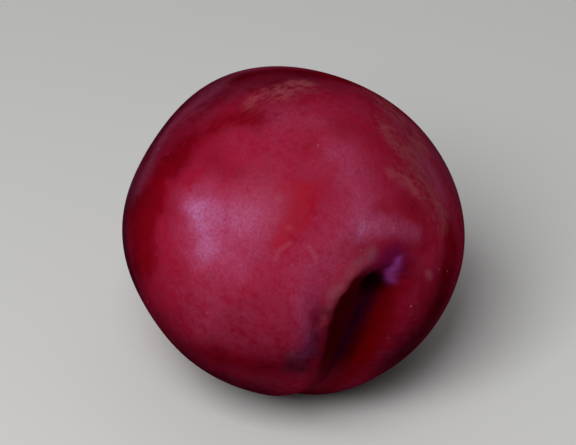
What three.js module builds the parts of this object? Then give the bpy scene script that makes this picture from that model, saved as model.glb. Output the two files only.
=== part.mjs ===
import * as THREE from 'three';

// A ripe plum lying on its side, in millimetres, with +Z up. The stem end faces +X and tips up a
// little, and the seam leaves the stem cavity toward -Y and runs down under the fruit. The origin
// is on the ground, under the middle of the fruit's bounding box.
//
// A point of the skin is found from two angles in degrees: polar, counted from the stem end (0) to
// the blossom end (180), and round, counted about the stem axis from the seam. In the fruit's own
// axes x points to the seam, y to the far cheek and z to the stem.

// Body
const length = 61.5;        // stem end to blossom end, before the cavity is sunk
const acrossSeam = 58.6;    // from the seam to the back
const acrossCheeks = 60.5;  // from cheek to cheek
const shoulders = 0.06;     // share by which the stem half is fuller
const tipDepth = 0.9;       // dimple at the blossom end
const tipRadius = 4.0;

// Sides that grew a little flatter than the rest
const flatterSides = [
  { polar: 94, round: 160, depth: 1.7, spread: 34 },
  { polar: 52, round: 146, depth: 2.2, spread: 22 },
  { polar: 133, round: -116, depth: 1.5, spread: 26 },
  { polar: 105, round: -46, depth: 0.45, spread: 18 },
];

// Stem cavity: a wide shallow well with a steep narrow pit in its middle
const wellDepth = 1.4;
const wellRadius = 8.0;
const pitDepth = 2.5;
const pitRadius = 3.1;

// Seam: a wide valley that opens from the cavity, then thins to a faint line
const seamDepth = 5.0;      // beside the cavity
const seamTail = 0.45;      // depth left past the middle of the fruit
const seamReach = 36;       // polar angle by which half of the valley is gone
const seamFade = 4;         // how suddenly it goes
const seamTailWidth = 0.42; // width of the faint line, as a share of the valley's
const seamAside = -1.5;     // y of the valley's deepest line, beside the cavity
const seamStart = [-7, 5];      // x over which the valley opens, across the cavity
const seamEnd = [158, 180];     // polar angles over which it closes at the blossom end

// Each wall of the valley: how wide and how abrupt it is, and the height, place and spread of its
// lip. The near lip curls back round the cavity on a circle.
const nearWall = { width: 8.1, shape: 2.9, lip: 0.7, lipAt: 10.8, lipSpread: 2.0 };
const farWall = { width: 5.0, shape: 1.6, lip: 0.35, lipAt: 12.8, lipSpread: 3.0 };
const curlStart = 4.5;      // x where the near lip starts to curl back
const curlRadius = 9.5;
const leastCurl = 0.12;     // share, squared, of the wall's width that is left at the end of the curl

// How the fruit lies
const stemRise = 7.5;       // degrees that the stem axis tips up from level
const seamTurn = 70;        // degrees that the seam is turned down from level
const restDepth = 0.85;     // height of the underside given up to the flat spot it rests on
const restBlend = 0.15;     // half the height over which that spot blends into the skin

// Grid of the skin, closer near the stem and the seam
const rings = 56;
const segments = 76;
const ringCrowding = 0.45;
const segmentCrowding = 0.45;

const skinColour = 0x8a1c3c;
const skinRoughness = 0.42;

const { degToRad, radToDeg, smoothstep } = THREE.MathUtils;

// 1 in the middle, falling away as a bell of the given width.
const bell = (distance, width) => Math.exp(-((distance / width) ** 2));

// The unit direction from the middle of the fruit at two angles.
function outward(polar, round) {
  const [p, r] = [degToRad(polar), degToRad(round)];
  return new THREE.Vector3(Math.sin(p) * Math.cos(r), Math.sin(p) * Math.sin(r), Math.cos(p));
}

// How far the flatter sides pull the skin in.
function flatterSink(normal) {
  let sink = 0;
  for (const side of flatterSides) {
    const apart = radToDeg(normal.angleTo(outward(side.polar, side.round)));
    sink += side.depth * bell(apart, side.spread);
  }
  return sink;
}

// How wide the near wall still is where it curls back round the cavity, as a share.
function nearCurl(x) {
  const past = Math.min(x - curlStart, 0) / curlRadius;
  return Math.sqrt(Math.max(1 - past ** 2, leastCurl));
}

// How far the seam's valley sinks the skin; its lips count against it.
function seamSink(polar, x, y) {
  const keep = 1 / (1 + (polar / seamReach) ** seamFade);
  const across = y - seamAside * keep;
  const wall = across < 0 ? nearWall : farWall;
  const scale = (seamTailWidth + (1 - seamTailWidth) * keep) * (across < 0 ? nearCurl(x) : 1);
  const open = smoothstep(x, ...seamStart) * (1 - smoothstep(polar, ...seamEnd));
  const depth = seamTail + (seamDepth - seamTail) * keep;
  const valley = depth * Math.exp(-((Math.abs(across) / (wall.width * scale)) ** wall.shape));
  const lip = wall.lip * keep * bell(Math.abs(across) - wall.lipAt * scale, wall.lipSpread);
  return (valley - lip) * open;
}

// How far the stem cavity and the blossom end's dimple sink the skin along the stem axis. The pit
// has steeper sides than a bell.
function endSink(normal, fromAxis) {
  if (normal.z < 0) return -tipDepth * bell(fromAxis, tipRadius);
  return wellDepth * bell(fromAxis, wellRadius) + pitDepth * Math.exp(-((fromAxis / pitRadius) ** 3));
}

// A point of the skin in the fruit's own axes.
function skinPoint(polar, round) {
  const normal = outward(polar, round);
  const fullness = 1 + shoulders * normal.z;
  const point = new THREE.Vector3(
    (acrossSeam / 2) * fullness * normal.x,
    (acrossCheeks / 2) * fullness * normal.y,
    (length / 2) * normal.z,
  );
  const fromAxis = Math.hypot(point.x, point.y);
  const sink = flatterSink(normal) + seamSink(polar, point.x, point.y);
  point.addScaledVector(normal, -sink);
  point.z -= endSink(normal, fromAxis);
  return point;
}

// The turn from the fruit's own axes to the ground's.
function lyingTurn() {
  const rise = degToRad(stemRise);
  const turn = degToRad(seamTurn);
  const stem = new THREE.Vector3(Math.cos(rise), 0, Math.sin(rise));
  const level = new THREE.Vector3(0, -1, 0);
  const down = new THREE.Vector3().crossVectors(stem, level);
  const seam = level.multiplyScalar(Math.cos(turn)).addScaledVector(down, Math.sin(turn));
  const farCheek = new THREE.Vector3().crossVectors(stem, seam);
  return new THREE.Matrix4().makeBasis(seam, farCheek, stem);
}

// A height above the flat spot: level at 0, then a short parabola into the skin.
function rested(height) {
  if (height < -restBlend) return 0;
  if (height < restBlend) return (height + restBlend) ** 2 / (4 * restBlend);
  return height;
}

// The skin's points as they lie: the stem's pole, the rings, then the blossom end's pole.
function lyingPoints() {
  const points = [skinPoint(0, 0)];
  for (let ring = 1; ring < rings; ring += 1) {
    const u = ring / rings;
    const polar = 180 * u * (1 - ringCrowding * (1 - u));
    for (let segment = 0; segment < segments; segment += 1) {
      const turn = (2 * Math.PI * segment) / segments;
      const round = radToDeg(turn - segmentCrowding * Math.sin(turn));
      points.push(skinPoint(polar, round));
    }
  }
  points.push(skinPoint(180, 0));

  const lying = lyingTurn();
  for (const point of points) point.applyMatrix4(lying);
  const box = new THREE.Box3().setFromPoints(points);
  const middle = box.getCenter(new THREE.Vector3());
  const ground = box.min.z + restDepth;
  for (const point of points) {
    point.set(point.x - middle.x, point.y - middle.y, rested(point.z - ground));
  }
  return points;
}

// Triangles that join the rings and close both poles, with their faces out.
function skinTriangles() {
  const triangles = [];
  const at = (ring, segment) => 1 + ring * segments + (segment % segments);
  const lastRing = rings - 2;
  const blossomPole = at(lastRing + 1, 0);
  for (let segment = 0; segment < segments; segment += 1) {
    triangles.push(0, at(0, segment), at(0, segment + 1));
    for (let ring = 0; ring < lastRing; ring += 1) {
      const [a, b] = [at(ring, segment), at(ring, segment + 1)];
      const [c, d] = [at(ring + 1, segment), at(ring + 1, segment + 1)];
      triangles.push(a, c, d, a, d, b);
    }
    triangles.push(at(lastRing, segment), blossomPole, at(lastRing, segment + 1));
  }
  return triangles;
}

function makePlum() {
  const geometry = new THREE.BufferGeometry().setFromPoints(lyingPoints());
  geometry.setIndex(skinTriangles());
  geometry.computeVertexNormals();
  const skin = new THREE.MeshStandardMaterial({
    color: skinColour,
    roughness: skinRoughness,
    metalness: 0,
  });
  const plum = new THREE.Mesh(geometry, skin);
  plum.name = 'plum';
  return plum;
}

const group = new THREE.Group();
group.add(makePlum());

export default group;
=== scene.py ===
import math

import bpy
import numpy as np
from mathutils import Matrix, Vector


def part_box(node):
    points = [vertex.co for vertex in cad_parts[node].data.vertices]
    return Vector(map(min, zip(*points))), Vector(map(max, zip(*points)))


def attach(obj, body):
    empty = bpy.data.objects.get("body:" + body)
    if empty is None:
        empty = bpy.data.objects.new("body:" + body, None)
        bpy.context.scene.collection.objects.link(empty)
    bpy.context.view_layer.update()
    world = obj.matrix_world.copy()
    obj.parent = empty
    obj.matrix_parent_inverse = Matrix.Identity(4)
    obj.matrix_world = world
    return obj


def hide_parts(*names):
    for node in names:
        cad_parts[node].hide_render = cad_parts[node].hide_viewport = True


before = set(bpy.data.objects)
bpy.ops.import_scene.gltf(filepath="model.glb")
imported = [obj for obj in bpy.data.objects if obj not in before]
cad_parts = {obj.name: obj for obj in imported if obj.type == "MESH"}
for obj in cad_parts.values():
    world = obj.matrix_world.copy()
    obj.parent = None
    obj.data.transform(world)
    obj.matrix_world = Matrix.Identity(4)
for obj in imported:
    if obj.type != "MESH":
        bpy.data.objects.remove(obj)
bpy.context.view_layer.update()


# Shape of the fruit, in millimetres and degrees. polar is counted from the stem end (0) to the
# blossom end (180), around about the stem axis from the seam. In the fruit's own axes x points to
# the seam, y to the far cheek and z to the stem, so the near cheek is at minus y. The seam runs in a
# valley with a lip on each side.
plumShape = {
    "length": 61.5,             # stem end to blossom end, before the cavity
    "acrossSeam": 58.6,         # from the seam to the skin opposite, before the valley
    "acrossCheeks": 60.5,
    "shoulders": 0.06,          # share by which the stem half is fuller
    "tip": (0.9, 4.0),          # depth and radius of the blossom end's dimple
    # polar, around, depth and spread of each flatter side
    "flatterSides": [(94, 160, 1.7, 34), (52, 146, 2.2, 22), (133, -116, 1.5, 26), (105, -46, 0.45, 18)],
    "well": (1.4, 8.0),         # depth and radius of the cavity's wide upper part
    "pit": (2.5, 3.1),          # depth and radius of its steep bottom
    "seamDepth": 5.0,           # the valley's depth at the stem end
    "seamTail": 0.45,           # its depth at the blossom end
    "seamTailWidth": 0.42,      # its width there, as a share of its width at the stem end
    "seamReach": 36,            # polar where half of the valley is left
    "seamFade": 4,              # power by which it fades there
    "seamAside": -1.5,          # how far the deepest line runs to the near side of the seam
    "seamStart": (-7.0, 5.0),   # x where the valley starts to open and where it is fully open
    "seamEnd": (158, 180),      # polar where it starts to close and where it is closed
    "nearWall": (8.1, 2.9, 0.7, 10.8, 2.0),     # width, power, and the lip's height, place, spread
    "farWall": (5.0, 1.6, 0.35, 12.8, 3.0),
    # x where the near lip starts to curl back, the curl's radius, and the share, squared, of the
    # near wall's width that is left at its end
    "curl": (4.5, 9.5, 0.12),
    "lipPinch": (0.5, 2.7, 0.12),       # x, spread and share of the near lip's lean into the valley
    "lipWaver": 0.035,          # share by which the valley's width wavers along the seam
    # its waves: radians for each mm along and across, phase and weight
    "lipWaves": [(0.85, 0, 0.4, 1), (2.1, 0.25, 1.9, 0.6)],
    "stemRise": 7.5,            # how far the stem end tips up
    "seamTurn": 70,             # how far the seam is turned down from level
    "restDepth": 0.85,          # depth of skin that is pressed level where the fruit rests
    "restBlend": 0.15,          # half the height over which the level spot turns into the skin
    "rings": 256,               # of the grid, from end to end
    "segments": 384,            # round the stem axis
    "crowding": 0.45,           # how much closer the grid is at the stem end and at the seam
    "swell": 0.10,              # height of the slow swelling of the skin
    # its waves over the sphere: direction and rate, phase and weight
    "swellWaves": [((4.1, 2.3, 0), 0.7, 1), ((0, 3.7, -2.9), 2.1, 1), ((3.1, 0, 5.3), -1.3, 1),
                   ((8.2, -7.1, 5.9), 0, 0.6)],
    "puckers": (0.10, 11, 3.4, 1.5),    # depth, number, place, spread of the folds round the stem scar
    "puckerWander": (0.7, 3),   # how far they wander and how often
    "scar": (0.35, 1.5, 0.45),  # height, radius and width of the stem scar's rim
    "scarHollow": (0.8, 0.6),   # depth and radius inside the rim, as shares of its height and radius
}


def bell(distance, width):
    # 1 in the middle, falling as e to the minus square of distance over width
    return np.exp(-(distance / width) ** 2)


def smoothStep(value, low, high):
    # 0 before low, 1 past high, and 3q^2 - 2q^3 between them
    q = np.clip((value - low) / (high - low), 0, 1)
    return q * q * (3 - 2 * q)


def outward(polar, around):
    # unit direction: sine of polar times the cosine and sine of around, then the cosine of polar
    p, a = np.radians(polar), np.radians(around)
    return np.stack([np.sin(p) * np.cos(a), np.sin(p) * np.sin(a), np.cos(p) + 0 * a], -1)


def degreesApart(normal, polar, around):
    # angle between each direction and one given by its two angles
    return np.degrees(np.arccos(np.clip(normal @ outward(polar, around), -1, 1)))


def seamKeep(polar, shape):
    # share of the valley left: one over one plus polar over its reach, raised to its fade
    return 1 / (1 + (polar / shape["seamReach"]) ** shape["seamFade"])


def seamScale(x, keep, near, shape):
    # narrower toward the tail, and on the near side also on a circle where the lip curls back, and
    # by a bell where it leans in
    start, radius, least = shape["curl"]
    curl = np.sqrt(np.maximum(1 - (np.minimum(x - start, 0) / radius) ** 2, least))
    place, spread, share = shape["lipPinch"]
    curl = curl * (1 - share * bell(x - place, spread))
    tail = shape["seamTailWidth"]
    return (tail + (1 - tail) * keep) * np.where(near, curl, 1)


def seamSink(polar, x, y, shape):
    # a bell-like valley across y, broader and more abrupt on its near side, less a rounded lip
    # along each side
    keep = seamKeep(polar, shape)
    across = y - shape["seamAside"] * keep
    near = across < 0
    walls = zip(shape["nearWall"], shape["farWall"])
    width, power, lip, lipAt, lipSpread = (np.where(near, n, f) for n, f in walls)
    waver = 0
    for along, aside, phase, weight in shape["lipWaves"]:
        waver = waver + weight * np.sin(along * x + aside * np.abs(across) + phase)
    scale = seamScale(x, keep, near, shape) * (1 + shape["lipWaver"] * waver)
    opening = smoothStep(x, *shape["seamStart"]) * (1 - smoothStep(polar, *shape["seamEnd"]))
    depth = shape["seamTail"] + (shape["seamDepth"] - shape["seamTail"]) * keep
    valley = depth * np.exp(-((np.abs(across) / (width * scale)) ** power))
    crest = lip * keep * bell(np.abs(across) - lipAt * scale, lipSpread)
    return (valley - crest) * opening


def endSink(normal, fromAxis, shape):
    # the blossom end's dimple on one half, and on the other the well with its steeper pit, which
    # falls as e to the minus cube of distance over radius
    tip, well, pit = shape["tip"], shape["well"], shape["pit"]
    stemEnd = well[0] * bell(fromAxis, well[1]) + pit[0] * np.exp(-((fromAxis / pit[1]) ** 3))
    return np.where(normal[..., 2] < 0, -tip[0] * bell(fromAxis, tip[1]), stemEnd)


def slowSwell(normal, shape):
    # a weighted mean of long waves over the sphere, between about -1 and 1
    total = sum(weight * np.sin(normal @ rate + phase) for rate, phase, weight in shape["swellWaves"])
    return total / sum(weight for rate, phase, weight in shape["swellWaves"])


def scarRelief(around, fromAxis, shape):
    # folds that run into the pit, and the low round scar where the stem came off
    depth, count, place, spread = shape["puckers"]
    wander, times = shape["puckerWander"]
    height, radius, width = shape["scar"]
    hollow, inside = shape["scarHollow"]
    turn = np.radians(around)
    folds = depth * np.cos(turn * count + wander * np.sin(turn * times))
    rim = height * bell(fromAxis - radius, width) - hollow * height * bell(fromAxis, radius * inside)
    return folds * bell(fromAxis - place, spread) - rim


def skinPoints(polar, around, shape):
    # an ellipsoid fuller at the stem, pulled in toward its middle and then along the stem axis
    normal = outward(polar, around)
    fullness = 1 + shape["shoulders"] * normal[..., 2]
    x = shape["acrossSeam"] / 2 * fullness * normal[..., 0]
    y = shape["acrossCheeks"] / 2 * fullness * normal[..., 1]
    z = shape["length"] / 2 * normal[..., 2]
    fromAxis = np.hypot(x, y)
    sink = seamSink(polar, x, y, shape) + shape["swell"] * (1 + slowSwell(normal, shape)) / 2
    for sidePolar, sideAround, depth, spread in shape["flatterSides"]:
        sink = sink + depth * bell(degreesApart(normal, sidePolar, sideAround), spread)
    points = np.stack([x, y, z], -1) - normal * sink[..., None]
    stemHalf = normal[..., 2] > 0
    points[..., 2] -= endSink(normal, fromAxis, shape)
    points[..., 2] -= np.where(stemHalf, scarRelief(around, fromAxis, shape), 0)
    return points, normal


def lyingTurn(shape):
    # rows are the fruit's own axes as they lie: to the seam, to the far cheek, to the stem
    rise, turn = math.radians(shape["stemRise"]), math.radians(shape["seamTurn"])
    stem = np.array([math.cos(rise), 0, math.sin(rise)])
    level = np.array([0, -1, 0])
    seam = math.cos(turn) * level + math.sin(turn) * np.cross(stem, level)
    return np.stack([seam, np.cross(stem, seam), stem])


def rested(height, blend):
    # level at 0 for the flat spot, then a short parabola into the skin
    parabola = (height + blend) ** 2 / (4 * blend)
    return np.where(height < -blend, 0, np.where(height < blend, parabola, height))


def closedGrid(rings, segments):
    # quads between rings and fans at both poles, for a grid stored pole, rings, pole
    ring, segment = np.meshgrid(np.arange(rings - 2), np.arange(segments), indexing="ij")
    following = (segment + 1) % segments
    a, b = 1 + ring * segments + segment, 1 + ring * segments + following
    quads = np.stack([a, a + segments, b + segments, b], -1).reshape(-1, 4)
    each = np.arange(segments)
    nextOne = (each + 1) % segments
    last = 1 + (rings - 1) * segments
    first = 1 + (rings - 2) * segments
    stemFan = np.stack([0 * each, 1 + each, 1 + nextOne], -1)
    blossomFan = np.stack([first + each, last + 0 * each, first + nextOne], -1)
    return quads.tolist() + stemFan.tolist() + blossomFan.tolist()


def makePlum(shape):
    # rings crowd at the stem and segments at the seam, as both have the fine forms
    u = np.arange(1, shape["rings"]) / shape["rings"]
    polar = 180 * u * (1 - shape["crowding"] * (1 - u))
    turn = 2 * math.pi * np.arange(shape["segments"]) / shape["segments"]
    around = np.degrees(turn - shape["crowding"] * np.sin(turn))
    gridPolar, gridAround = (g.ravel() for g in np.meshgrid(polar, around, indexing="ij"))
    gridPolar = np.concatenate([[0], gridPolar, [180]])
    gridAround = np.concatenate([[0], gridAround, [0]])

    own, normal = skinPoints(gridPolar, gridAround, shape)
    points = own @ lyingTurn(shape)
    ground = points[:, 2].min() + shape["restDepth"]
    points[:, 2] = rested(points[:, 2] - ground, shape["restBlend"])
    points /= 1000      # to metres

    # over the middle of the solid's box, and never past its sides
    low, high = (np.array(corner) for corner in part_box("plum"))
    middle = (points.min(0) + points.max(0)) / 2
    fit = np.minimum((high - low) / (points.max(0) - points.min(0)), 1)
    points[:, :2] = (points[:, :2] - middle[:2]) * fit[:2] + (low + high)[:2] / 2
    points[:, 2] *= fit[2]

    mesh = bpy.data.meshes.new("plumSkin")
    mesh.from_pydata(points, [], closedGrid(shape["rings"], shape["segments"]))
    mesh.polygons.foreach_set("use_smooth", np.ones(len(mesh.polygons), bool))
    mesh.update()
    plum = bpy.data.objects.new("plumSkin", mesh)
    bpy.context.scene.collection.objects.link(plum)
    return plum, own, normal, gridPolar


# Where the finish changes over the fruit. Each stroke has a spread in degrees, a strength, and the
# points it runs through as polar and around.
skinStrokes = {
    "bloom": [
        # the first three are bloom painted lighter as the highlight on the near cheek
        (6, 0.46, (73, -105), (65, -92)),           # brightest, on the near cheek
        (7.5, 0.32, (69, -110), (55, -110)),        # its fainter side
        (7, 0.23, (60, -102), (54, -96)),           # under it
        (9, 0.10, (62, -85), (62, -65)),            # down the near cheek
        (20, 0.07, (60, -135), (50, -110), (45, -70)),      # thin over the whole cheek
        (6, 0.25, (49, -155), (43, -159), (26, -147)),      # band from the top toward the cavity
        (2.8, 0.36, (22, -142), (20, 163)),         # above the cavity
        (7, 0.18, (28, -100), (29, -135)),          # behind the lip
        (3.5, 0.20, (30, -80), (30, -62), (34, -43)),       # beside the valley
        (9, 0.10, (60, 160), (50, 150), (37, 134)),         # far shoulder
        (5, 0.20, (49, 150), (44, 139)),            # its brighter end
        (4.5, 0.20, (107, -97), (106, -148)),       # blossom side of the cheek
        (6, 0.13, (72, -146), (65, -156)),          # above the near cheek
        (20, 0.22, (128, 120), (134, 165)),         # far side and back
        (24, 0.30, (105, 60), (80, 95)),
        (18, 0.38, (135, 150), (120, -170)),
        (10, 0.20, (60, 110), (70, 140)),
        (16, 0.30, (150, -60), (130, -90)),
    ],
    "rubbed": [
        (9, 1.15, (91, -80), (99, -93)),            # blossom side of the near cheek
        (8, 1.10, (91, -99), (93, -110), (91, -121)),
        (4.5, 0.55, (77, -120), (68, -123)),        # small spot
        (6, 0.85, (84, -133), (76, -143)),          # above the near cheek
        (5.5, 1.00, (102, -153), (91, -175), (85, 169)),    # back of the top
        (5.5, 0.35, (56, -165), (49, -172)),        # top, toward the far side
        (3.5, 0.45, (55, -146), (49, -152)),
        (3.5, 0.45, (26, 176), (24, 158)),
        (5.5, 1.00, (33, 121), (32, 105), (23, 69)),        # far flank
        (6.5, 0.90, (67, -47), (47, -39)),          # under the near cheek
        (6, 0.35, (99, -72), (83, -57), (77, -40)),
        (3.5, 0.50, (8, 150), (10, 67)),            # beside the cavity
        (12, 0.90, (110, 20), (100, 5)),            # far side and back
        (9, 0.80, (88, 90), (74, 100)),
        (11, 0.90, (125, -160), (132, -130)),
        (12, 0.90, (140, 60), (150, 90)),
    ],
    "glow": [
        (4.5, 1.20, (45, -135), (43, -112)),        # middle of the near side
        (5, 0.40, (44, -101), (36, -89)),           # below it
        (7, 0.50, (64, -152), (47, -150)),          # above it
        (4.5, 0.40, (16, 179), (25, 166)),          # above the cavity
        (12, 0.60, (110, 120), (95, 140)),          # far side
    ],
    "russet": [
        (5.5, 0.85, (81, -146), (80, -165)),        # top
        (6, 0.90, (53, 174), (47, 159)),            # far shoulder, in three bands
        (4.2, 0.90, (37, 178), (33, 161)),
        (6, 1.00, (37, 151), (34, 134)),
        (9, 0.70, (75, 165), (60, 150)),            # far side
    ],
    "lip": [
        (2.9, 0.66, (19.5, -86), (17, -107), (15, -129), (15, -140)),     # round the cavity end
        (2.4, 0.34, (25.5, -57), (20.5, -80)),      # along the seam
    ],
    # painted shade in dark purple round the cavity's rim, on its far side and beside the valley
    "purple": [
        (2, 0.55, (13, -125), (13, -141), (12, -161), (12, 177)),       # rim of the cavity
        (1.8, 0.40, (9.5, 158), (7, 120)),          # its far side
        (3.4, 0.34, (28.5, -83), (29, -61), (34.5, -40)),       # beside the valley
    ],
    "marks": [
        (0.7, 0.50, (41, -99), (41.5, -103), (39, -109)),       # two fine arcs
        (0.7, 0.55, (33.5, -111.5), (32, -110.5), (30, -108)),
        (1, 0.40, (50.5, -123), (49.5, -123)),      # three single dots
        (0.9, 0.40, (42, -115), (41.5, -115)),
        (1.2, 0.60, (15.5, 106), (16.5, 100)),
    ],
    # painted shade: darker skin where the rims, underside, valley side and top fall in shadow
    "paintedShade": [
        (12, 0.30, (72, -24), (48, -31), (38, -13)),        # underside
        (15, 0.36, (79, -49), (54, -49), (32, -38)),
        (14, 0.15, (74, -66), (43, -67), (30, -52)),
        (30, 0.30, (80, -10), (70, 40)),
        (13, 0.80, (30, 35), (25, 69)),             # far flank
        (5, 0.48, (38, -34), (24, -64)),            # near side of the valley
        (9, 0.12, (34, 2), (11, 15), (10, 161)),    # its far side, round to the cavity
        (6, 0.16, (25, -83), (26, -108), (22, -131)),       # behind the lip
        (4, 0.20, (12, 161), (11, 94)),             # beside the cavity
        (5, 0.12, (22, -141), (20, 160)),           # above the cavity
        (15, 0.52, (111, -69), (105, -119), (100, -142), (87, -157)),   # blossom side to the top
        (9, 0.27, (120, -120), (110, -155), (92, -170)),
        (8, 0.16, (100, -142), (79, -173)),         # top
        (6, 0.18, (80, -180), (68, 163)),
    ],
    # painted shade along the cavity's upper edge
    "cavityRimShade": [
        (2.6, 0.70, (19.5, -137), (14.5, -171), (17.5, 140)),   # painted shade where the skin bends down into the cavity, above it
    ],
    "shine": [
        (24, 0.05, (75, -102), (48, -113)),         # near cheek
        (25, 0.12, (100, 110), (70, 120)),          # far side
        (24, 0.12, (130, -120), (120, -160)),       # back
    ],
}


# Where else the finish changes, and how the strokes' outlines waver. The valley, the cavity and the
# scars are in millimetres on the fruit's own axes. A pair is where a change starts and where it is
# complete. across is counted from the valley's deepest line, as if it were as wide as at the stem.
skinPlaces = {
    "fineStrokes": ("lip", "purple", "marks", "cavityRimShade"),    # these don't waver
    "waverSeed": 5,
    "waverOctaves": 3,
    "waverWaves": 8,            # in each octave
    "waverRate": 14,            # radians for each unit of direction, in the first octave
    "waverPush": 0.010,         # how far a wave of the first octave moves the direction
    "unshadedCheek": (41, -127),   # polar and around of the middle of the near side, which the painted shade leaves alone
    "paintedShadeFrom": (56, 98),       # degrees away from it, where the painted shade starts and where it is full
    "paintedShadeStrength": 0.85,
    "clearingFrom": (100, 145),     # degrees away, where some of the painted shade goes again
    "clearingShare": 0.5,
    # places of the valley's painted shade, then of the cavity's
    "valleyOpens": (-6, -1),    # along x
    "valleyGain": 1.6,          # times the share of the valley that is left, up to 1
    "nearEdge": (-10.8, -7.6),  # across
    "farEdge": (2.5, 7.0),
    "floorOpens": (0.5, 2.5),   # along x
    "floorLine": (1.9, -0.27, 1.7),     # place across where x is 0, drift for each mm of x, spread
    "farWallStarts": (1.0, 2.8),    # across
    "farWallEnds": (3.5, 8.5),
    "lilacLine": ((-4.9, 0.9), (-0.3, 2.2)),    # x and y of its two ends
    "lilacSpread": 0.75,
    "cavityBackShade": (-4.6, -0.4, 3.2),    # x, y and spread
    "scarMiddle": (0.6, 0.5),
    "scarEdge": (0.8, 2.7),     # out from its middle
    "blossomScarEdge": (0.4, 1.2),
}


def wavered(normal, places):
    # sine waves in random directions, each octave half as long and half as high as the last
    random = np.random.default_rng(places["waverSeed"])
    count = places["waverWaves"]
    bent = normal.copy()
    for octave in range(places["waverOctaves"]):
        waves = random.normal(size=(count, 3))
        waves *= places["waverRate"] * 2 ** octave / np.linalg.norm(waves, axis=1, keepdims=True)
        pushes = random.normal(size=(count, 3)) * places["waverPush"] / 2 ** octave
        phases = random.uniform(0, 2 * math.pi, count)
        bent += np.sin(normal @ waves.T + phases) @ pushes
    return bent / np.linalg.norm(bent, axis=1, keepdims=True)


def strokeField(normal, strokes):
    # each stroke is a bell of the distance, in degrees, from the nearest place on the line through
    # its points; a short straight line between two directions is as good as their angle
    total = np.zeros(len(normal))
    for spread, strength, *points in strokes:
        ends = [outward(polar, around) for polar, around in points]
        nearest = np.full(len(normal), 2.0)     # no two directions are further apart
        for start, end in zip(ends, ends[1:]):
            span = end - start
            share = np.clip((normal - start) @ span / (span @ span), 0, 1)
            spot = start + share[:, None] * span
            spot /= np.linalg.norm(spot, axis=1, keepdims=True)
            nearest = np.minimum(nearest, np.linalg.norm(normal - spot, axis=1))
        total += strength * bell(np.degrees(nearest), spread)
    return total


def valleyMasks(own, polar, shape, places):
    # painted shade in the valley: the walls from lip to lip dark, the floor purple and the far wall a
    # deeper red
    x = own[:, 0]
    keep = seamKeep(polar, shape)
    across = own[:, 1] - shape["seamAside"] * keep
    across = across / seamScale(x, keep, across < 0, shape)
    opening = smoothStep(x, *places["valleyOpens"]) * np.minimum(places["valleyGain"] * keep, 1)
    walls = smoothStep(across, *places["nearEdge"]) * (1 - smoothStep(across, *places["farEdge"]))
    start, drift, spread = places["floorLine"]
    floor = smoothStep(x, *places["floorOpens"]) * bell(across - start - drift * x, spread)
    farWall = smoothStep(across, *places["farWallStarts"])
    farWall = farWall * (1 - smoothStep(across, *places["farWallEnds"]))
    return {"walls": opening * walls, "valleyFloorShade": opening * floor, "farWall": opening * farWall}


def cavityMasks(own, normal, places):
    # the lilac bloom in the cavity, painted lighter as a highlight on its lit far wall, a bell about a
    # line, the cavity's back in painted shade, a bell about a point, and the scars at both ends, the stem's
    # one painted dark as the shade of its pit
    flat = own[:, :2]
    start, end = (np.array(corner) for corner in places["lilacLine"])
    span = end - start
    share = np.clip((flat - start) @ span / (span @ span), 0, 1)
    fromLilac = np.linalg.norm(flat - start - share[:, None] * span, axis=1)
    backX, backY, backSpread = places["cavityBackShade"]
    fromBack = np.hypot(own[:, 0] - backX, own[:, 1] - backY)
    fromScar = np.linalg.norm(flat - places["scarMiddle"], axis=1)
    fromAxis = np.linalg.norm(flat, axis=1)
    stemHalf = normal[:, 2] > 0
    return {
        "lilac": np.where(stemHalf, bell(fromLilac, places["lilacSpread"]), 0),
        "cavityBackShade": np.where(stemHalf, bell(fromBack, backSpread), 0),
        "scar": np.where(stemHalf, 1 - smoothStep(fromScar, *places["scarEdge"]), 0),
        "blossomScar": np.where(stemHalf, 0, 1 - smoothStep(fromAxis, *places["blossomScarEdge"])),
    }


def paintedShadeFromCheek(direction, places):
    # painted shade that darkens the skin evenly away from the middle of the near side, and clears in part
    # on the far side
    fromCheek = degreesApart(direction, *places["unshadedCheek"])
    clearing = 1 - places["clearingShare"] * smoothStep(fromCheek, *places["clearingFrom"])
    return places["paintedShadeStrength"] * smoothStep(fromCheek, *places["paintedShadeFrom"]) * clearing


def addMasks(plum, own, normal, polar, shape, places):
    # one number at each point for each mask, and the point's place on the fruit for the patterns
    bent = wavered(normal, places)
    masks = {}
    for name, strokes in skinStrokes.items():
        masks[name] = strokeField(normal if name in places["fineStrokes"] else bent, strokes)
    # painted shade away from the near side's middle, added to the painted shade strokes
    masks["paintedShade"] += paintedShadeFromCheek(bent, places)
    masks.update(valleyMasks(own, polar, shape, places))
    masks.update(cavityMasks(own, normal, places))
    for name, values in masks.items():
        attribute = plum.data.attributes.new(name, "FLOAT", "POINT")
        attribute.data.foreach_set("value", values.astype(np.float32))
    fruitMm = plum.data.attributes.new("fruitMm", "FLOAT_VECTOR", "POINT")
    fruitMm.data.foreach_set("vector", own.astype(np.float32).ravel())
    print("plum:", len(masks), "masks")


class Wire:
    # an output socket; arithmetic on it adds Math nodes
    def __init__(self, shader, socket):
        self.shader = shader
        self.socket = socket

    def math(self, operation, first, second):
        return self.shader.node("ShaderNodeMath", {"operation": operation}, {0: first, 1: second})

    def __add__(self, other):
        return self.math("ADD", self, other)

    def __radd__(self, other):
        return self.math("ADD", other, self)

    def __sub__(self, other):
        return self.math("SUBTRACT", self, other)

    def __rsub__(self, other):
        return self.math("SUBTRACT", other, self)

    def __mul__(self, other):
        return self.math("MULTIPLY", self, other)

    def __rmul__(self, other):
        return self.math("MULTIPLY", other, self)

    def larger(self, other):
        return self.math("MAXIMUM", self, other)

    def clamp(self):
        # held between 0 and 1
        return self.shader.node("ShaderNodeClamp", {}, {"Value": self})

    def step(self, low, high):
        # 0 before low and 1 past high, eased between them; low may be the larger
        ease = {"interpolation_type": "SMOOTHSTEP"}
        sockets = {"Value": self, "From Min": low, "From Max": high}
        return self.shader.node("ShaderNodeMapRange", ease, sockets)


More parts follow.
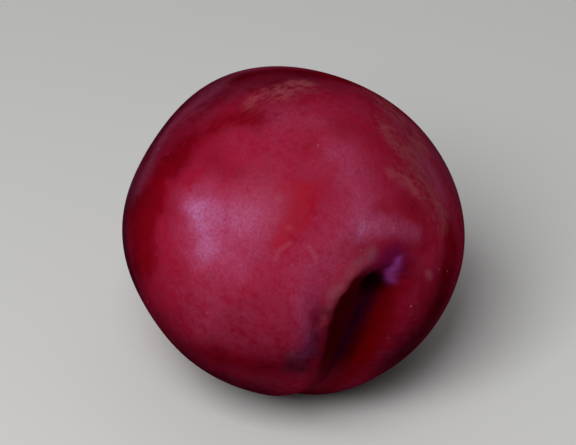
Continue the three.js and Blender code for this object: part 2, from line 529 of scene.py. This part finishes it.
class Shader:
    # a material whose nodes all come from the method node
    def __init__(self, name):
        self.material = bpy.data.materials.new(name)
        self.material.use_nodes = True
        self.tree = self.material.node_tree
        self.tree.nodes.clear()

    def node(self, kind, settings=None, sockets=None, output=0):
        made = self.tree.nodes.new(kind)
        for name, value in (settings or {}).items():
            setattr(made, name, value)
        for key, value in (sockets or {}).items():
            if isinstance(value, Wire):
                self.tree.links.new(value.socket, made.inputs[key])
            else:
                made.inputs[key].default_value = value
        return Wire(self, made.outputs[output]) if made.outputs else None

    def attribute(self, name, output="Fac"):
        return self.node("ShaderNodeAttribute", {"attribute_name": name}, {}, output)

    def noise(self, vector, size, detail, roughness, distortion, stretch):
        # size is the width of a typical blotch; stretch under 1 draws it out across the stem axis
        factors = (stretch, stretch, 1.0)
        place = self.node("ShaderNodeVectorMath", {"operation": "MULTIPLY"}, {0: vector, 1: factors})
        return self.node("ShaderNodeTexNoise", {}, {
            "Vector": place,
            "Scale": 1 / size,
            "Detail": detail,
            "Roughness": roughness,
            "Distortion": distortion,
        })

    def mix(self, factor, under, over):
        # a Mix node's colours are its inputs 6 and 7, and the mixed colour is its output 2
        colours = {0: factor, 6: under, 7: over}
        return self.node("ShaderNodeMix", {"data_type": "RGBA"}, colours, 2)


def tint(code):
    # a hex sRGB colour as linear red, green, blue and alpha
    channels = [int(code[i:i + 2], 16) / 255 for i in (0, 2, 4)]
    linear = [c / 12.92 if c < 0.04045 else ((c + 0.055) / 1.055) ** 2.4 for c in channels]
    return (*linear, 1.0)


# Finish of the skin. Breaks say how much of each noise, taken about zero, makes a layer uneven. An
# edge is where a layer starts and where it is full, and its cover is how far it hides what is under.
skinFinish = {
    "crimson": tint("a61c3d"),
    "deepCrimson": tint("800112"),
    "brightRed": tint("a2142a"),
    # the bloom's rose, and its lilac where it is thickest, which is also the painted highlight's core
    "bloomRose": tint("be5f8c"),
    "bloomLilac": tint("c27ab0"),
    # the cavity's lilac bloom, painted lighter as a highlight on its lit wall
    "cavityLilac": tint("963a88"),
    # painted shade in the cavity, dark purple
    "cavityShadePurple": tint("560a40"),
    "russetTan": tint("aa5058"),
    "lipTan": tint("8c4454"),
    "mark": tint("c88090"),
    # painted shade colour, a dark wine
    "paintedShade": tint("2a010a"),
    # painted shade in the valley: its walls, its far wall and its floor
    "wallShadeRed": tint("380001"),
    "farWallShadeRed": tint("640104"),
    "floorShadePurple": tint("2a0018"),
    # near black: painted shade of the stem's pit over its scar, and the blossom scar's own dark colour
    "scarAndPitShade": tint("0c0102"),
    # size in millimetres, detail, roughness, distortion and stretch
    "noises": {
        "clouds": (11, 7, 0.60, 0.5, 1),
        "smear": (6, 8, 0.66, 1.0, 0.6),
        "thinning": (4, 1, 0.5, 0, 1),
        "patches": (3.4, 6, 0.66, 0.5, 1),
        "streaks": (1.5, 5, 0.65, 0.6, 0.35),
        "freckle": (1.4, 4, 0.7, 0, 1),
        "grain": (0.5, 4, 0.75, 0, 1),
    },
    "mottleBreaks": {"clouds": 0.5, "freckle": 0.3, "streaks": 0.2},
    "mottleEdge": (-0.16, 0.12),
    "crimsonShare": (0.56, 0.24),       # least, and how much more where it is mottled
    "glowBreaks": {"clouds": 2.0, "freckle": 1.2},
    "glowEdge": (0.1, 1.1),
    "rubbedBreaks": {"smear": 1.5, "patches": 1.4, "freckle": 1.4},
    "rubbedEdge": (-0.05, 1.2),
    "rubbedCover": 0.95,
    "paintedShadeBreaks": {"clouds": 0.4, "patches": 0.3},
    "paintedShadeCover": 0.92,
    "bloomBreaks": {"smear": 0.6, "patches": 0.4},
    "veilBreaks": {"smear": 0.28, "patches": 0.35, "freckle": 0.35},
    "veil": 0.025,              # thin bloom that lies everywhere
    "bloomGrain": {"grain": 2.6},
    "bloomLost": {"rubbed": 0.97, "glow": 0.5, "paintedShade": 0.6},    # share lost under each
    "lilacEdge": (0.3, 0.8),    # from rose to lilac as the bloom gets thicker
    "russetBreaks": {"streaks": 3.9, "freckle": 2.1},
    "russetEdge": (0.15, 1.1),
    "russetDepth": (0.8, {"streaks": 1.2}),
    "russetCover": 0.62,
    "cavityRimShadeCover": 0.6,
    "dotSpacing": 3.1,          # millimetres
    "dotEdge": (0.09, 0.04),    # as shares of the spacing
    "dotThinning": (0.48, 0.6),
    "markDepth": (0.7, {"grain": 1.0}),
    "markCover": 0.35,
    # mask, colour, cover and breaks, from the lowest layer up; all are painted shade in the valley and
    # cavity except the lilac, which is bloom painted lighter as a highlight
    "hollowLayers": [
        ("walls", "wallShadeRed", 0.95, {}),
        ("farWall", "farWallShadeRed", 0.8, {"streaks": 1.6}),
        ("valleyFloorShade", "floorShadePurple", 0.9, {"streaks": 0.8}),
        ("cavityBackShade", "cavityShadePurple", 0.7, {}),
        ("lilac", "cavityLilac", 0.9, {"streaks": 1.5}),
        ("purple", "cavityShadePurple", 0.6, {"streaks": 0.8}),
    ],
    "lipBreaks": {"streaks": 1.95, "freckle": 1.05, "patches": 2.0},
    "lipCover": 0.75,
    "scarCover": 0.9,
    "bareRoughness": 0.40,
    "bloomRoughness": 0.62,
    "russetRoughness": 0.66,
    "grainRoughness": {"grain": 0.06},
    "relief": {"grain": 0.02, "freckle": 0.05, "russet": 0.03, "dots": 0.05, "bloom": 0.02},
    "bumpStrength": 0.5,
    "bumpDistance": 0.001,      # metres
    "polishEdge": (0.8, 0.2),   # the polish fades out where the skin is seen edge-on
}


def uneven(noises, breaks, middle=0):
    # middle plus the named noises, each less one half and times its share
    total = middle
    for name, share in breaks.items():
        total = total + (noises[name] - 0.5) * share
    return total


def redSkin(s, noises, finish):
    # crimson mottled with a deeper one, and brighter where it glows
    least, more = finish["crimsonShare"]
    mottle = uneven(noises, finish["mottleBreaks"]).step(*finish["mottleEdge"])
    colour = s.mix(least + more * mottle, finish["deepCrimson"], finish["crimson"])
    glow = (s.attribute("glow") + uneven(noises, finish["glowBreaks"])).step(*finish["glowEdge"])
    return s.mix(glow, colour, finish["brightRed"]), glow


def rubbedSkin(s, noises, finish, colour):
    # patches rubbed clean of bloom, with ragged edges
    rubbed = (s.attribute("rubbed") + uneven(noises, finish["rubbedBreaks"])).step(*finish["rubbedEdge"])
    return s.mix(rubbed * finish["rubbedCover"], colour, finish["deepCrimson"]), rubbed


def paintedShadeLayer(s, noises, finish, colour):
    # painted shade on the rims, underside, valley side and top, put under the bloom and softly uneven
    paintedShade = (s.attribute("paintedShade") + uneven(noises, finish["paintedShadeBreaks"])).clamp()
    return s.mix(paintedShade * finish["paintedShadeCover"], colour, finish["paintedShade"]), paintedShade


def waxBloom(s, noises, finish, colour, covers):
    # wax smeared over the skin, grainy, and partly lost under each of the covers; on the near cheek its
    # thickest strokes are also a painted highlight
    bloom = s.attribute("bloom") * uneven(noises, finish["bloomBreaks"], 1)
    bloom = bloom + uneven(noises, finish["veilBreaks"], finish["veil"])
    for name, share in finish["bloomLost"].items():
        bloom = bloom * (1 - covers[name] * share)
    bloom = (bloom * uneven(noises, finish["bloomGrain"], 1)).clamp()
    thick = s.attribute("bloom").step(*finish["lilacEdge"])
    return s.mix(bloom, colour, s.mix(thick, finish["bloomRose"], finish["bloomLilac"])), bloom


def russetFlecks(s, noises, finish, colour):
    # flecks and streaks that run round the stem end
    middle, breaks = finish["russetDepth"]
    russet = (s.attribute("russet") * uneven(noises, finish["russetBreaks"], 1)).step(*finish["russetEdge"])
    russet = russet * uneven(noises, breaks, middle)
    return s.mix((russet * finish["russetCover"]).clamp(), colour, finish["russetTan"]), russet


def paleDots(s, noises, finish, colour, fruit):
    # one dot in each cell, left out where the thinning noise is low, and a few larger marks
    cells = {"Vector": fruit, "Scale": 1 / finish["dotSpacing"], "Randomness": 1.0}
    fromDot = s.node("ShaderNodeTexVoronoi", {"feature": "F1"}, cells)
    dots = fromDot.step(*finish["dotEdge"]) * noises["thinning"].step(*finish["dotThinning"])
    middle, breaks = finish["markDepth"]
    marks = (s.attribute("marks") * uneven(noises, breaks, middle)).larger(dots).clamp()
    return s.mix(marks * finish["markCover"], colour, finish["mark"]), dots


def hollowColours(s, noises, finish, colour):
    # the valley's and cavity's painted shade, the cavity's lilac bloom with its painted highlight, the tan
    # lip beside them and the scars at both ends, the stem's one painted near black as the shade of its pit
    for mask, tone, cover, breaks in finish["hollowLayers"]:
        amount = (s.attribute(mask) * uneven(noises, breaks, cover)).clamp()
        colour = s.mix(amount, colour, finish[tone])
    lip = (s.attribute("lip") * uneven(noises, finish["lipBreaks"], 1)).step(0.0, 1.0)
    colour = s.mix(lip * finish["lipCover"], colour, finish["lipTan"])
    # the stem's scar painted near black as the shade of its pit; the blossom scar dark in its own colour
    scarsAndPitShade = s.attribute("scar").larger(s.attribute("blossomScar"))
    return s.mix(scarsAndPitShade * finish["scarCover"], colour, finish["scarAndPitShade"]), scarsAndPitShade


def plumSkinMaterial(finish):
    # the colours from the red skin up, then the roughness, the fine relief and the polish
    s = Shader("plumSkin")
    fruit = s.attribute("fruitMm", "Vector")
    noises = {name: s.noise(fruit, *values) for name, values in finish["noises"].items()}

    colour, glow = redSkin(s, noises, finish)
    colour, rubbed = rubbedSkin(s, noises, finish, colour)
    # painted shade on the rims and underside, under the bloom
    colour, paintedShade = paintedShadeLayer(s, noises, finish, colour)
    covers = {"rubbed": rubbed, "glow": glow, "paintedShade": paintedShade}
    colour, bloom = waxBloom(s, noises, finish, colour, covers)
    colour, russet = russetFlecks(s, noises, finish, colour)
    # painted shade along the cavity's upper edge, in the deeper crimson
    colour = s.mix(s.attribute("cavityRimShade") * finish["cavityRimShadeCover"], colour, finish["deepCrimson"])
    colour, dots = paleDots(s, noises, finish, colour, fruit)
    colour, scarsAndPitShade = hollowColours(s, noises, finish, colour)

    waxier = finish["bloomRoughness"] - finish["bareRoughness"]
    roughness = uneven(noises, finish["grainRoughness"], finish["bareRoughness"]) + bloom * waxier
    roughness = roughness.larger(russet.larger(scarsAndPitShade) * finish["russetRoughness"])

    raised = {**noises, "russet": russet, "dots": dots, "bloom": bloom}
    height = sum(raised[name] * share for name, share in finish["relief"].items())
    bump = s.node("ShaderNodeBump", {}, {
        "Strength": finish["bumpStrength"],
        "Distance": finish["bumpDistance"],
        "Height": height,
    })

    edgeOn = s.node("ShaderNodeLayerWeight", {}, {"Blend": 0.5}, "Facing")
    polish = s.attribute("shine") * edgeOn.step(*finish["polishEdge"])

    shaded = s.node("ShaderNodeBsdfPrincipled", {}, {
        "Base Color": colour,
        "Roughness": roughness,
        "IOR": 1.45,
        "Specular IOR Level": 0.0,
        "Coat Weight": polish,
        "Coat Roughness": 0.28,
        "Coat IOR": 1.45,
        "Subsurface Weight": 0.10,
        "Subsurface Radius": (1.0, 0.2, 0.15),
        "Subsurface Scale": 0.002,
        "Normal": bump,
    })
    s.node("ShaderNodeOutputMaterial", {}, {"Surface": shaded})
    return s.material


plum, own, normal, polar = makePlum(plumShape)
print("plum: skin of", len(plum.data.polygons), "faces")
addMasks(plum, own, normal, polar, plumShape, skinPlaces)
plum.data.materials.append(plumSkinMaterial(skinFinish))
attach(plum, "root")
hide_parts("plum")
print("plum: skin material")


# Floor, lights and camera, in metres and degrees. A light's toward is its direction from the plum as
# shares of the camera's right, up and back.
studio = {
    "azimuth": 54.5,            # of the camera: 0 looks along +Y, 90 along -X
    "elevation": 35,
    "distance": 0.62,
    "fill": 0.74,               # share of the picture's height that the plum's own height takes
    "imageSize": (576, 445),
    "floorColour": (0.85, 0.85, 0.84, 1.0),
    "floorRoughness": 0.7,
    "floorSize": 3.0,
    "key": {"toward": (-0.28, 0.30, 0.91), "distance": 0.70, "size": 0.45, "watts": 3.75},
    "top": {"toward": (-0.10, 0.95, 0.30), "distance": 0.90, "size": 1.20, "watts": 0.8},
    "worldStrength": 0.09,
}


def cameraAxes(azimuth, elevation):
    # right, up and toward the camera, for a camera that looks down on the piece
    a, e = math.radians(azimuth), math.radians(elevation)
    right = Vector((math.cos(a), math.sin(a), 0))
    toward = Vector((math.sin(a) * math.cos(e), -math.cos(a) * math.cos(e), math.sin(e)))
    return right, toward.cross(right), toward


def addFloor(settings):
    # one pale square at the height that the plum rests on
    half = settings["floorSize"] / 2
    mesh = bpy.data.meshes.new("floor")
    corners = [(-half, -half, 0), (half, -half, 0), (half, half, 0), (-half, half, 0)]
    mesh.from_pydata(corners, [], [(0, 1, 2, 3)])
    floor = bpy.data.objects.new("floor", mesh)
    bpy.context.scene.collection.objects.link(floor)
    s = Shader("floor")
    sockets = {"Base Color": settings["floorColour"], "Roughness": settings["floorRoughness"]}
    shaded = s.node("ShaderNodeBsdfPrincipled", {}, sockets)
    s.node("ShaderNodeOutputMaterial", {}, {"Surface": shaded})
    mesh.materials.append(s.material)


def addLight(name, settings, middle, axes):
    # a square area light that faces the middle of the plum
    direction = sum((axis * share for axis, share in zip(axes, settings["toward"])), Vector())
    direction.normalize()
    data = bpy.data.lights.new(name, "AREA")
    data.size = settings["size"]
    data.energy = settings["watts"]
    light = bpy.data.objects.new(name, data)
    bpy.context.scene.collection.objects.link(light)
    light.location = middle + direction * settings["distance"]
    light.rotation_euler = direction.to_track_quat("Z", "Y").to_euler()


def addCamera(settings, middle, size, axes):
    # the lens is the sensor's width times distance over the width seen at the plum
    width, height = settings["imageSize"]
    data = bpy.data.cameras.new("camera")
    viewWidth = size / settings["fill"] * width / height
    data.lens = data.sensor_width * settings["distance"] / viewWidth
    camera = bpy.data.objects.new("camera", data)
    bpy.context.scene.collection.objects.link(camera)
    camera.location = middle + axes[2] * settings["distance"]
    camera.rotation_euler = axes[2].to_track_quat("Z", "Y").to_euler()
    bpy.context.scene.camera = camera


def addWorld(settings):
    # dim white light from all around, and colours shown as they are
    world = bpy.data.worlds.new("studio")
    bpy.context.scene.world = world
    world.use_nodes = True
    background = world.node_tree.nodes["Background"]
    background.inputs["Color"].default_value = (1.0, 1.0, 1.0, 1.0)
    background.inputs["Strength"].default_value = settings["worldStrength"]
    bpy.context.scene.view_settings.view_transform = "Standard"


low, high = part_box("plum")
middle = (low + high) / 2
axes = cameraAxes(studio["azimuth"], studio["elevation"])
addFloor(studio)
addLight("key", studio["key"], middle, axes)
addLight("top", studio["top"], middle, axes)
addCamera(studio, middle, high.z - low.z, axes)
addWorld(studio)
print("studio: floor, two lights, camera and world")
